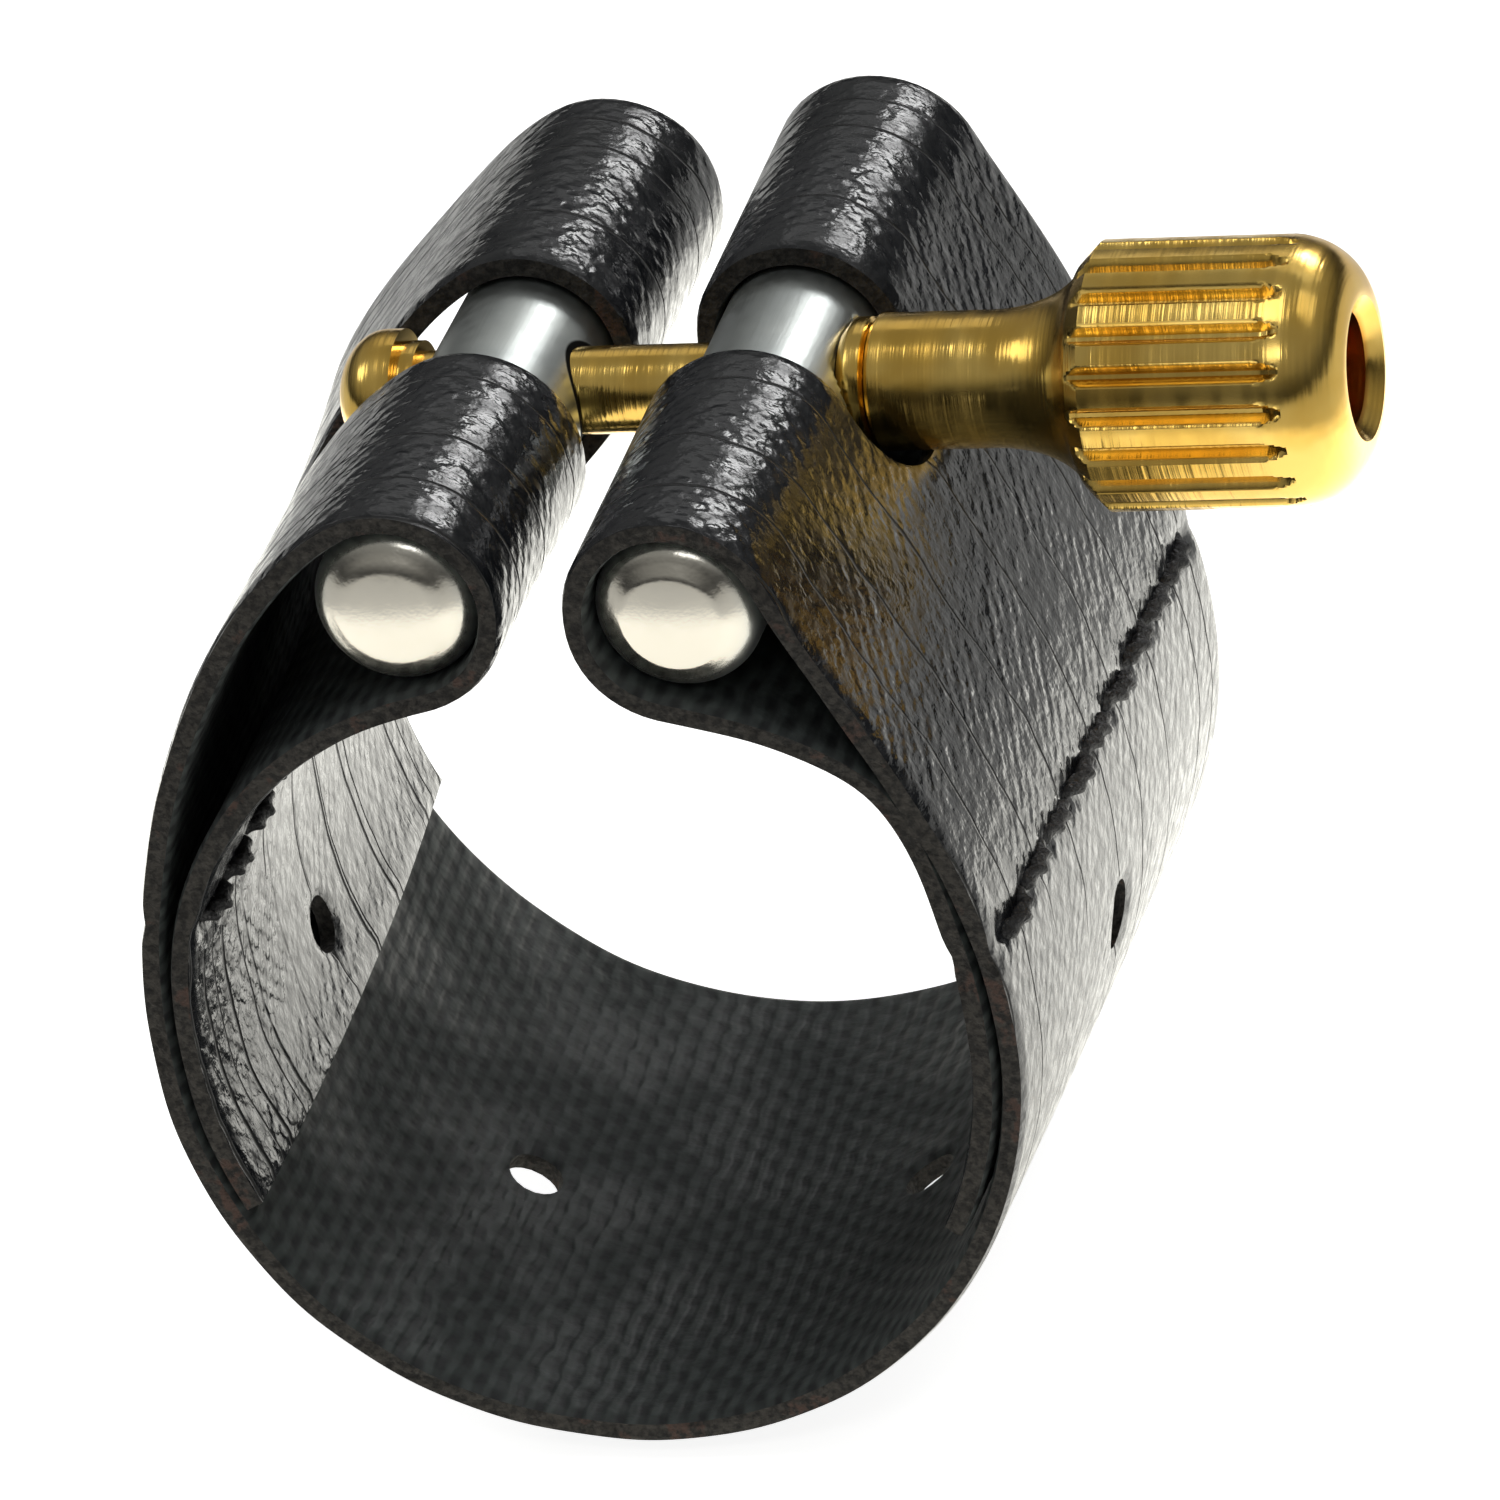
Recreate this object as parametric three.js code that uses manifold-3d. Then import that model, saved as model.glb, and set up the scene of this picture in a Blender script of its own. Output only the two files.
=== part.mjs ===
// A strap ligature for a saxophone mouthpiece: a coated strap ring whose two folded ends hold steel
// rods, drawn together by one brass screw and a long thumb nut.
// Millimetres. X runs along the screw towards the thumb nut, Y along the mouthpiece, Z up to the screw.
// The origin is the centre of the ring, half way along its width.
import * as THREE from "three";
import { mergeVertices } from "three/addons/utils/BufferGeometryUtils.js";
import Module from "manifold-3d";

const wasm = await Module();
wasm.setup();

// ---- driving dimensions -------------------------------------------------------------------------
const strapWidth = 25.4; // one-inch strap
const strapThickness = 0.7;
const ringHeight = 12.51; // from the ring's centre down to the middle of the strap at the bottom
const splitGap = 0.3; // slit at the bottom, where the strap flexes
const layerPitch = 0.66; // the folded layer is pressed into the outer one by the seam

const rodRadius = 2.4;
const rodProud = 0.1; // the rods' domed ends stand a little past the strap's edges
const rodCrown = 0.35; // its ends are slightly domed
const rodEdge = 0.85; // and well rounded at the edge
const rodInLoop = 0.08; // running clearance round a rod in its loop
const screwHeight = 13.9;
const screwY = 0.5; // the screw sits a little behind the middle of the strap
const rightRodTilt = THREE.MathUtils.degToRad(2.2); // the right loop sits slightly twisted on the screw

// The two sides of the strap differ a little, as hand work does. All of it is given with the side's
// own outward direction as positive, and angles in degrees from that direction, upwards positive.
const left = {
  side: -1,
  rodOut: 3.25, // rod axis from the ring's centre plane
  ringWidth: 12.41, // from the ring's centre to the middle of the strap
  flankFrom: -4, // where the strap leaves the ring
  flankPull: [6.9, 4.7], // how far the flank keeps its direction after the ring, and before the loop
  loopFrom: 62, // where the flank meets the loop
  undersideTurn: -100, // where the strap leaves the loop again, below the rod
  bendPull: [6.0, 3.0], // the same two reaches for the bend of the folded end
  foldMeets: 10, // where the folded end meets the outer layer
  flapEnd: -25, // how far down the ring the folded end reaches
  seam: 19,
  bandHole: -61.5,
  backGrowth: 0.031,
};
const right = {
  side: 1,
  rodOut: 4.85,
  ringWidth: 12.36,
  flankFrom: -2,
  flankPull: [6.3, 5.1],
  loopFrom: 22,
  undersideTurn: -104,
  bendPull: [6.4, 5.5],
  foldMeets: 12,
  flapEnd: -31.5,
  seam: 13,
  bandHole: -62,
  backGrowth: 0.08,
};

// The strap is cut and sewn by hand, so towards its back edge the ring drifts off its front edge, and
// each side is wider there by its backGrowth.
const backShift = [-1.3, -0.25]; // along X and Z
const shiftNear = 3.4; // the loops are not shifted: it grows between these distances from the rod's axis
const shiftFar = 10;
const leanLow = 2; // the right loop's lean fades in between these heights
const leanHigh = 11;

const slotFrontY = -3.0; // slot in each loop that lets the screw through
const slotBackY = 2.65;
const slotRoundZ = 14.2; // its end is a half round about this height

const sideHoleRadius = 0.95; // punched through both layers
const sideHoleAngle = -12.5;
const sideHoleY = -0.8;
const bandHoleRadius = 0.65; // punched through the single layer at the bottom
const bandHoleY = -1.4;

const threadRadius = 0.22;
const legRadius = 0.19; // a stitch is pulled thinner where it dives through the strap
const needleHoleRadius = 0.36;
const threadStandOff = 0.08; // space left between a stitch and the strap
const stitchCount = 9;
const seamMargin = 1.1; // first and last needle hole, from the strap's edges

const shankRadius = 1.25;
const shankEndX = 17.4;
const crossHoleRadius = 1.45;
const headRadius = 1.9;
const headLength = 1.9;
const shoulderRadius = 1.55;
const shoulderLength = 0.55;
const seatGap = 0.08; // between the pieces that bear on each other along the screw

const seatRadius = 1.95; // flat seat cut into the right rod for the collar
const seatDepth = 0.5;
const collarInner = 1.4;
const collarOuter = 1.86;
const collarLength = 0.82;
const collarBevel = 0.3;

const nutBoreRadius = 1.36;
const nutNeckRadius = 1.95;
const nutGripRadius = 3.84;
const nutBackRadius = 3.25; // where the flare meets the grip's back bevel
const nutNeckLength = 3.3;
const nutFlareLength = 2.9;
const nutBackBevel = 0.55;
const nutGripLength = 5.25;
const nutDomeLength = 2.1;
const nutMouthRadius = 2.05; // outer rim of the chamfer at the open end
const nutMouthBore = 1.62;
const nutChamferDepth = 0.4;
const nutMouthDepth = 2.6;
const fluteCount = 20;
const fluteDepth = 0.42;
const landShare = 0.4; // share of each flute's pitch that is left as a land
const fluteRunOut = 0.8; // how far the flutes run on into the dome

// ---- helpers ------------------------------------------------------------------------------------
const TAU = 2 * Math.PI;
const { degToRad, smoothstep } = THREE.MathUtils;
const at = (angle, radius) => new THREE.Vector2(Math.cos(angle), Math.sin(angle)).multiplyScalar(radius);

// A closed three.js geometry as a solid that can be cut and joined.
function solid(geometry) {
  const bare = geometry.index ? geometry.toNonIndexed() : geometry.clone();
  bare.deleteAttribute("normal");
  bare.deleteAttribute("uv");
  const merged = mergeVertices(bare, 1e-4);
  return new wasm.Manifold(
    new wasm.Mesh({
      numProp: 3,
      vertProperties: new Float32Array(merged.attributes.position.array),
      triVerts: new Uint32Array(merged.index.array),
    }),
  );
}

// A solid back as a three.js geometry.
function geometryOf(body) {
  const mesh = body.getMesh();
  const geometry = new THREE.BufferGeometry();
  geometry.setAttribute("position", new THREE.BufferAttribute(new Float32Array(mesh.vertProperties), 3));
  geometry.setIndex(new THREE.BufferAttribute(new Uint32Array(mesh.triVerts), 1));
  geometry.computeVertexNormals();
  return geometry;
}

// A cylinder between two points.
function bar(from, to, radius, sides = 12) {
  const axis = to.clone().sub(from);
  const geometry = new THREE.CylinderGeometry(radius, radius, axis.length(), sides);
  const turn = new THREE.Quaternion().setFromUnitVectors(
    new THREE.Vector3(0, 1, 0),
    axis.clone().normalize(),
  );
  geometry.applyQuaternion(turn);
  const middle = from.clone().add(to).multiplyScalar(0.5);
  return geometry.translate(middle.x, middle.y, middle.z);
}

// A profile of [distance along the axis, radius] pairs, turned about the X axis.
function turned(profile, sides = 48) {
  const points = profile.map(([along, radius]) => new THREE.Vector2(radius, along));
  return new THREE.LatheGeometry(points, sides).rotateZ(-Math.PI / 2);
}

// Points along a curve that runs anticlockwise, each with the direction away from its inside.
function trace(curve, steps) {
  return Array.from({ length: steps + 1 }, (_, i) => {
    const tangent = curve.getTangent(i / steps);
    return { point: curve.getPoint(i / steps), normal: new THREE.Vector2(tangent.y, -tangent.x) };
  });
}

function arcCurve(centre, radiusX, radiusY, from, to) {
  return new THREE.EllipseCurve(centre.x, centre.y, radiusX, radiusY, from, to, false, 0);
}

// A curve that leaves one traced point along its direction of travel and arrives at another along its.
function easedCurve(start, startDirection, startPull, end, endDirection, endPull) {
  return new THREE.CubicBezierCurve(
    start,
    start.clone().addScaledVector(startDirection, startPull),
    end.clone().addScaledVector(endDirection, -endPull),
    end,
  );
}

const travel = ({ normal }) => new THREE.Vector2(-normal.y, normal.x);
const angleOf = ({ point }) => THREE.MathUtils.radToDeg(Math.atan2(point.y, point.x));

// ---- the strap ----------------------------------------------------------------------------------
// The middle line of one half: the ring from its bottom, the flank, the loop round the rod, and the
// folded end, which bends down below the loop and follows the outer layer.
function strapPath(half) {
  const centre = new THREE.Vector2(0, 0);
  const rod = new THREE.Vector2(half.rodOut, screwHeight);
  const loopRadius = rodRadius + rodInLoop + strapThickness / 2;
  const bottom = -Math.PI / 2 + splitGap / 2 / ringHeight;
  const ring = trace(
    arcCurve(centre, half.ringWidth, ringHeight, bottom, degToRad(half.flankFrom)),
    16,
  );
  const loop = trace(
    arcCurve(rod, loopRadius, loopRadius, degToRad(half.loopFrom), TAU + degToRad(half.undersideTurn)),
    22,
  );
  const leave = ring[ring.length - 1];
  const flank = trace(
    easedCurve(
      leave.point,
      travel(leave),
      half.flankPull[0],
      loop[0].point,
      travel(loop[0]),
      half.flankPull[1],
    ),
    14,
  );
  const outer = [...ring, ...flank.slice(1), ...loop.slice(1)];

  const pressed = [...ring, ...flank.slice(1)]
    .filter((step) => angleOf(step) < half.foldMeets && angleOf(step) > half.flapEnd)
    .map(({ point, normal }) => ({
      point: point.clone().addScaledVector(normal, -layerPitch),
      normal: normal.clone().negate(),
    }))
    .reverse();
  const loopEnd = loop[loop.length - 1];
  const bend = trace(
    easedCurve(
      loopEnd.point,
      travel(loopEnd),
      half.bendPull[0],
      pressed[0].point,
      travel(pressed[0]),
      half.bendPull[1],
    ),
    12,
  );
  const overlap = loop.slice(-3, -1);
  return { outer, folded: [...overlap, ...bend, ...pressed.slice(1)] };
}

// A strip of the strap's thickness along a path, extruded over the strap's width.
function strip(path, side) {
  const half = strapThickness / 2;
  const face = (sign) =>
    path.map(({ point, normal }) => point.clone().addScaledVector(normal, sign * half));
  const outline = [...face(1), ...face(-1).reverse()];
  const shape = new THREE.Shape(outline.map((p) => new THREE.Vector2(side * p.x, p.y)));
  const geometry = new THREE.ExtrudeGeometry(shape, { depth: strapWidth, bevelEnabled: false });
  return solid(geometry.rotateX(Math.PI / 2).translate(0, strapWidth / 2, 0));
}

// A point of a half's section, at a place along the strap's width.
const placed = (half, point, y) => new THREE.Vector3(half.side * point.x, y, point.y);

// A pin standing square to the ring, through whatever lies there.
function ringPin(half, degrees, y, radius, sides) {
  const ends = [ringHeight - 3, ringHeight + 2].map((reach) => placed(half, at(degToRad(degrees), reach), y));
  return bar(...ends, radius, sides);
}

// The seam's two rows lie just clear of the strap's outer face and of the folded layer's inner face.
function seamRows(half) {
  const { outer, folded } = strapPath(half);
  const clear = strapThickness / 2 + threadStandOff + threadRadius;
  const off = (step) => Math.abs(angleOf(step) - half.seam);
  return [outer, folded].map((path) => {
    const { point, normal } = path.reduce((best, step) => (off(step) < off(best) ? step : best));
    return point.clone().addScaledVector(normal, clear);
  });
}

const needleYs = Array.from(
  { length: stitchCount + 1 },
  (_, i) => -strapWidth / 2 + seamMargin + (i * (strapWidth - 2 * seamMargin)) / stitchCount,
);

// The strap as it really lies: the ring's back edge is shifted, and the right loop leans with its rod.
function relaxed(geometry, half) {
  const position = geometry.attributes.position;
  for (let i = 0; i < position.count; i++) {
    const [x, y, z] = [position.getX(i), position.getY(i), position.getZ(i)];
    const fromRod = Math.hypot(x - half.side * half.rodOut, z - screwHeight);
    const back = (y / strapWidth + 0.5) * smoothstep(fromRod, shiftNear, shiftFar);
    const lean = half === right ? Math.tan(rightRodTilt) * smoothstep(z, leanLow, leanHigh) : 0;
    position.setX(i, x + back * (backShift[0] + half.backGrowth * x));
    position.setZ(i, z + back * (backShift[1] + left.backGrowth * z) + lean * (y - screwY));
  }
  return geometry;
}

// The slot for the screw, open at the top and with a half-round end below.
function slotCutter() {
  const [width, middle] = [slotBackY - slotFrontY, (slotBackY + slotFrontY) / 2];
  const reach = 15;
  const rise = 6;
  const box = new THREE.BoxGeometry(2 * reach, width, rise).translate(0, middle, slotRoundZ + rise / 2);
  const ends = [-reach, reach].map((x) => new THREE.Vector3(x, middle, slotRoundZ));
  return solid(box).add(solid(bar(ends[0], ends[1], width / 2, 24)));
}

function strapHalf(half) {
  const path = strapPath(half);
  let body = strip(path.outer, half.side).add(strip(path.folded, half.side)).subtract(slotCutter());
  const holes = [
    ringPin(half, sideHoleAngle, sideHoleY, sideHoleRadius, 24),
    ringPin(half, half.bandHole, bandHoleY, bandHoleRadius, 20),
    ...needleYs.map((y) => bar(...seamRows(half).map((p) => placed(half, p, y)), needleHoleRadius, 8)),
  ];
  for (const hole of holes) body = body.subtract(solid(hole));
  return relaxed(geometryOf(body), half);
}

// ---- seam threads -------------------------------------------------------------------------------
// A lock-stitched row: a leg through each needle hole, and a stitch between the legs on both faces.
function seamThread(half) {
  const rows = seamRows(half);
  const legs = needleYs.map((y) => bar(...rows.map((p) => placed(half, p, y)), legRadius, 7));
  const overrun = threadRadius * 0.9;
  const ends = [needleYs[0] - overrun, needleYs[stitchCount] + overrun];
  const stitches = rows.map((p) => bar(...ends.map((y) => placed(half, p, y)), threadRadius, 8));
  const body = [...stitches, ...legs].map(solid).reduce((all, next) => all.add(next));
  return relaxed(geometryOf(body), half);
}

// ---- rods ---------------------------------------------------------------------------------------
// A rod along Y with domed ends and the cross hole for the screw; the rod's centre is at 0.
function rod(withSeat) {
  const end = strapWidth / 2 + rodProud;
  const corner = Array.from({ length: 6 }, (_, i) => {
    const { x, y } = at(degToRad(90 - 14 * i), rodEdge);
    return [end - rodCrown - rodEdge + x, rodRadius - rodEdge + y];
  });
  const cap = [...corner, [end - rodCrown / 4, rodRadius / 3], [end, 0]];
  const mirrored = cap.map(([along, radius]) => [-along, radius]).reverse();
  const body = solid(turned([...mirrored, ...cap], 40).rotateZ(Math.PI / 2));
  const reach = rodRadius + 1;
  const through = (from, to, radius, sides) =>
    solid(bar(new THREE.Vector3(from, screwY, 0), new THREE.Vector3(to, screwY, 0), radius, sides));
  const drilled = body.subtract(through(-reach, reach, crossHoleRadius, 24));
  if (!withSeat) return geometryOf(drilled);
  return geometryOf(drilled.subtract(through(rodRadius - seatDepth, reach, seatRadius, 32)));
}

// ---- screw, collar and thumb nut, all turned about X from the face at x = 0 -------------------------
function screw(length) {
  const start = -shoulderLength - headLength;
  const dome = Array.from({ length: 7 }, (_, i) => {
    const { x, y } = at(degToRad(180 - 15 * i), 1);
    return [start + headLength * (1 + x) * 0.72, headRadius * y];
  });
  dome[0][1] = 0;
  return turned([
    ...dome,
    [-shoulderLength, headRadius],
    [-shoulderLength, shoulderRadius],
    [0, shoulderRadius],
    [0, shankRadius],
    [length - 0.4, shankRadius],
    [length, shankRadius - 0.4],
    [length, 0],
  ]);
}

function collar() {
  return turned([
    [0, collarInner],
    [0, collarOuter - collarBevel],
    [collarBevel, collarOuter],
    [collarLength, collarOuter],
    [collarLength, collarInner],
    [0, collarInner],
  ]);
}

function thumbNut() {
  const flareStart = nutNeckLength;
  const backStart = flareStart + nutFlareLength;
  const gripStart = backStart + nutBackBevel;
  const domeStart = gripStart + nutGripLength;
  const end = domeStart + nutDomeLength;
  const edge = 0.15;
  // The flare is part of a hollow oval, steepest where it meets the grip.
  const sweep = degToRad(75);
  const flare = Array.from({ length: 9 }, (_, i) => {
    const along = Math.sin((i / 8) * sweep) / Math.sin(sweep);
    const out = (1 - Math.cos((i / 8) * sweep)) / (1 - Math.cos(sweep));
    return [flareStart + nutFlareLength * along, nutNeckRadius + (nutBackRadius - nutNeckRadius) * out];
  });
  const dome = Array.from({ length: 9 }, (_, i) => {
    const { x, y } = at((i / 8) * (Math.PI / 2), 1);
    return [domeStart + nutDomeLength * y, nutMouthRadius + (nutGripRadius - nutMouthRadius) * x];
  });
  const profile = [
    [0, nutBoreRadius],
    [0, nutNeckRadius - edge],
    [edge, nutNeckRadius],
    ...flare,
    [gripStart, nutGripRadius],
    ...dome,
    [end - nutChamferDepth, nutMouthBore],
    [end - nutMouthDepth, nutMouthBore],
    [end - nutMouthDepth - 0.3, nutBoreRadius],
    [0, nutBoreRadius],
  ];
  const body = solid(turned(profile, 60));

  // Each flute is a V cut straight along the grip; it runs out in the dome. The V goes on a little
  // past the grip's surface.
  const past = 0.4;
  const wide = ((1 - landShare) / 2) * (TAU / fluteCount) * (1 + past);
  const rim = nutGripRadius + past * fluteDepth;
  const cut = new THREE.Shape([at(0, nutGripRadius - fluteDepth), at(-wide, rim), at(wide, rim)]);
  const length = nutBackBevel + nutGripLength + fluteRunOut;
  const flute = new THREE.ExtrudeGeometry(cut, { depth: length, bevelEnabled: false });
  flute.rotateY(Math.PI / 2).translate(backStart, 0, 0);
  let fluted = body;
  for (let i = 0; i < fluteCount; i++) {
    const turnedFlute = flute.clone().rotateX(((i + 0.5) / fluteCount) * TAU);
    fluted = fluted.subtract(solid(turnedFlute));
  }
  return geometryOf(fluted);
}

// ---- finishes -----------------------------------------------------------------------------------
const coating = new THREE.MeshStandardMaterial({ color: 0x24262b, roughness: 0.45, metalness: 0 });
const thread = new THREE.MeshStandardMaterial({ color: 0x101012, roughness: 0.8, metalness: 0 });
const steel = new THREE.MeshStandardMaterial({ color: 0xb8c4c0, roughness: 0.3, metalness: 1 });
const brass = new THREE.MeshStandardMaterial({ color: 0xc8971f, roughness: 0.22, metalness: 1 });

// ---- assembly -----------------------------------------------------------------------------------
function piece(name, geometry, material, x = 0, z = 0) {
  const mesh = new THREE.Mesh(geometry, material);
  mesh.name = name;
  mesh.position.set(x, 0, z);
  return mesh;
}

const leftRodX = -left.rodOut;
const rightRodX = right.rodOut;
const ligature = new THREE.Group();
ligature.add(piece("strap_left", strapHalf(left), coating));
ligature.add(piece("strap_right", strapHalf(right), coating));
ligature.add(piece("seam_thread_left", seamThread(left), thread));
ligature.add(piece("seam_thread_right", seamThread(right), thread));
ligature.add(piece("rod_left", rod(false), steel, leftRodX, screwHeight));

// The tilted rod turns about the screw, so it hangs in a group placed on the screw's axis.
const tilted = new THREE.Group();
tilted.position.set(rightRodX, screwY, screwHeight);
tilted.rotation.x = rightRodTilt;
const rightRod = piece("rod_right", rod(true), steel);
rightRod.position.y = -screwY;
tilted.add(rightRod);
ligature.add(tilted);

const onScrew = new THREE.Group();
onScrew.position.set(0, screwY, screwHeight);
const screwFace = leftRodX - rodRadius - seatGap;
const collarFace = rightRodX + rodRadius - seatDepth + seatGap;
const nutFace = collarFace + collarLength + seatGap;
onScrew.add(piece("screw", screw(shankEndX - screwFace), brass, screwFace));
onScrew.add(piece("collar", collar(), brass, collarFace));
onScrew.add(piece("thumb_nut", thumbNut(), brass, nutFace));
ligature.add(onScrew);

export default ligature;
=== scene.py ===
# %% [markdown]
# # A strap ligature for a saxophone mouthpiece
# A ligature clamps the reed to the mouthpiece. This one is a coated strap bent into a ring. Each end is
# folded round a steel rod, and a brass screw with a long thumb nut draws the two rods together.
# The CAD model is the fixed frame. It gives the places of the rods, the screw and the nut, and every
# surface below is a numpy grid laid out from them. Lengths are in millimetres until a mesh is made.

# %% Start from the frame
import math

import bpy
import numpy as np
from mathutils import Matrix, Vector


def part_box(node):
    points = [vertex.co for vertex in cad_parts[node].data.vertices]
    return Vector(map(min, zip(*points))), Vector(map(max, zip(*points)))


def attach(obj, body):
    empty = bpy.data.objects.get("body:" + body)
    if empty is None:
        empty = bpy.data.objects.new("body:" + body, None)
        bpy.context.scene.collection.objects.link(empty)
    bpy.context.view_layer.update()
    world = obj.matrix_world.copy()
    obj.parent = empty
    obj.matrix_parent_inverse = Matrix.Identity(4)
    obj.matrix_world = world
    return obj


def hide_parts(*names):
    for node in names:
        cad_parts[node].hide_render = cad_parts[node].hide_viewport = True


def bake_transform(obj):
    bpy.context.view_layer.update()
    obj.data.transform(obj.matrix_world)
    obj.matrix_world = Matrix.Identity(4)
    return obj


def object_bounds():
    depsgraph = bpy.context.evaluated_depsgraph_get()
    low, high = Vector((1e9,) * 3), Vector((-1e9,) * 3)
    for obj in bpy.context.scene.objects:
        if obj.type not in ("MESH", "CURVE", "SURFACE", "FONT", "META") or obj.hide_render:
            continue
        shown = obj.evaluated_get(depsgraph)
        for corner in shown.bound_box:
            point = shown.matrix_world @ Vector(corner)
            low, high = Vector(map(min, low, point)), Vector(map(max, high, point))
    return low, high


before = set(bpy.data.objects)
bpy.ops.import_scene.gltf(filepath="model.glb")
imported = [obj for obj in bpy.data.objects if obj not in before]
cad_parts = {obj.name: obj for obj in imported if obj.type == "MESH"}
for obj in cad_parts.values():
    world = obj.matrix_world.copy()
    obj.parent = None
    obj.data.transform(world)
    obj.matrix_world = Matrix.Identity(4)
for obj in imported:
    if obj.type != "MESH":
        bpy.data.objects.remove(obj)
cad_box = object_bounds()
MM = 0.001
random = np.random.default_rng(7)


def box_mm(node):
    """Lowest corner, highest corner and middle of a CAD node, in millimetres."""
    low, high = (np.array(corner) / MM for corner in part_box(node))
    return low, high, (low + high) / 2


screw_low, screw_high, screw_mid = box_mm("screw")
nut_low, nut_high, _ = box_mm("thumb_nut")
collar_low, collar_high, _ = box_mm("collar")
rod_low, rod_high, rod_mid = box_mm("rod_left")
SCREW_Y, SCREW_Z = screw_mid[1], screw_mid[2]
ROD_RADIUS = (rod_high[0] - rod_low[0]) / 2
STRAP_WIDTH = 25.4
STRAP_THICKNESS = 0.7
ROD_CLEARANCE = 0.08  # between a rod and the loop round it
TILT = math.radians(2.2)  # how far the right rod and its loop lean, with the back end up
print("screw axis y, z:", SCREW_Y, SCREW_Z, "rod radius:", ROD_RADIUS)

# %% [markdown]
# ## From arrays to a mesh
# Every new piece is a grid of points whose neighbours are joined by quads. A grid that turns right round
# joins its last column to its first. The signed volume tells whether the faces point outwards, so one
# helper can turn them all round if they do not.

# %% Grid helpers


def smoothstep(low, high, value):
    """0 below low, 1 above high, and a smooth S between."""
    t = np.clip((value - low) / (high - low), 0, 1)
    return t * t * (3 - 2 * t)


def grid_quads(rows, columns, round_rows=False, round_columns=False):
    """The quads between neighbouring points of a rows by columns grid, each as four point numbers."""
    i = np.arange(rows if round_rows else rows - 1)[:, None]
    j = np.arange(columns if round_columns else columns - 1)[None, :]
    i2, j2 = (i + 1) % rows, (j + 1) % columns
    return np.stack(
        [i * columns + j, i2 * columns + j, i2 * columns + j2, i * columns + j2], -1
    ).reshape(-1, 4)


def signed_volume(points, quads):
    """Six times the volume inside the quads, positive if they face outwards."""
    a, b, c, d = (points[quads[:, k]] for k in range(4))
    return np.einsum("ij,ij->", a, np.cross(b, c)) + np.einsum("ij,ij->", a, np.cross(c, d))


def make_mesh(name, points, quads, materials, face_material=None, uv=None, sharp=40):
    """A mesh object at the origin from points in millimetres, smooth up to the angle sharp in degrees."""
    if signed_volume(points, quads) < 0:
        quads = quads[:, ::-1]
    mesh = bpy.data.meshes.new(name)
    mesh.vertices.add(len(points))
    mesh.vertices.foreach_set("co", (points * MM).astype(np.float32).ravel())
    corners = quads.ravel()
    mesh.loops.add(len(corners))
    mesh.loops.foreach_set("vertex_index", corners.astype(np.int32))
    mesh.polygons.add(len(quads))
    mesh.polygons.foreach_set("loop_start", np.arange(0, len(corners), 4, dtype=np.int32))
    if face_material is not None:
        mesh.polygons.foreach_set("material_index", face_material.astype(np.int32))
    if uv is not None:
        layer = mesh.uv_layers.new(name="strap_mm")
        layer.data.foreach_set("uv", uv[corners].astype(np.float32).ravel())
    for material in materials:
        mesh.materials.append(material)
    mesh.update(calc_edges=True)
    mesh.validate()
    mesh.polygons.foreach_set("use_smooth", np.ones(len(mesh.polygons), bool))
    mesh.set_sharp_from_angle(angle=math.radians(sharp))
    piece = bpy.data.objects.new(name, mesh)
    bpy.context.scene.collection.objects.link(piece)
    print(name, "has", len(mesh.polygons), "faces")
    return piece


# %% [markdown]
# ## The strap's middle line
# Seen from the end, the strap is one long line: from the left folded end up the inside of the ring, round
# the left rod, down the left flank, through the bottom of the ring and up the right side in the same way.
# It could be drawn by hand as a curve. Here each half is a quarter of an ellipse, an eased curve for the
# flank, an arc round the rod and another eased curve for the bend, so it fits the rods exactly.

# %% Each half of the line
LOOP_RADIUS = ROD_RADIUS + ROD_CLEARANCE + STRAP_THICKNESS / 2
RING_DEPTH = 12.51
FOLD_GAP = 0.12  # a thin dark gap stays between the two layers

# A half is drawn towards +x, and side puts it in its place. rod_out is how far its rod lies from the
# middle. Angles are in degrees: those of the loop are seen from the rod, the others from the ring's
# centre. A pull is how far a curve keeps the direction it starts or ends with, in millimetres. growth
# spreads the back edge, and slot_rise lifts the slot's end on the flank.
left = dict(
    side=-1, rod_out=-rod_mid[0], ring_width=12.41, flank_from=-4, flank_pull=(6.9, 4.7),
    loop_from=62, underside=-100, bend_pull=(6.0, 3.0), fold_meets=10, flap_end=-25,
    seam=19, growth=0.031, band_hole=-60.5, slot_rise=0.0,
)
right = dict(
    side=1, rod_out=box_mm("rod_right")[2][0], ring_width=12.36, flank_from=-2, flank_pull=(6.3, 5.1),
    loop_from=22, underside=-104, bend_pull=(6.4, 5.5), fold_meets=12, flap_end=-31.5,
    seam=13, growth=0.08, band_hole=-63, slot_rise=0.5,
)


def arc(centre, radius_x, radius_z, start, stop, count=200):
    """Points of an ellipse about centre between two angles in degrees."""
    angle = np.radians(np.linspace(start, stop, count))[:, None]
    return np.array(centre) + np.hstack([radius_x * np.cos(angle), radius_z * np.sin(angle)])


def eased(start, start_pull, stop, stop_pull, count=200):
    """A cubic curve that leaves start along start_pull and arrives at stop along stop_pull."""
    t = np.linspace(0, 1, count)[:, None]
    controls = [start, start + start_pull, stop - stop_pull, stop]
    weights = [(1 - t) ** 3, 3 * t * (1 - t) ** 2, 3 * t**2 * (1 - t), t**3]
    return sum(w * np.array(c) for w, c in zip(weights, controls))


def heading(points, at_end=True):
    """The unit direction of travel at one end of a line of points."""
    step = points[-1] - points[-2] if at_end else points[1] - points[0]
    return step / np.linalg.norm(step)


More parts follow.
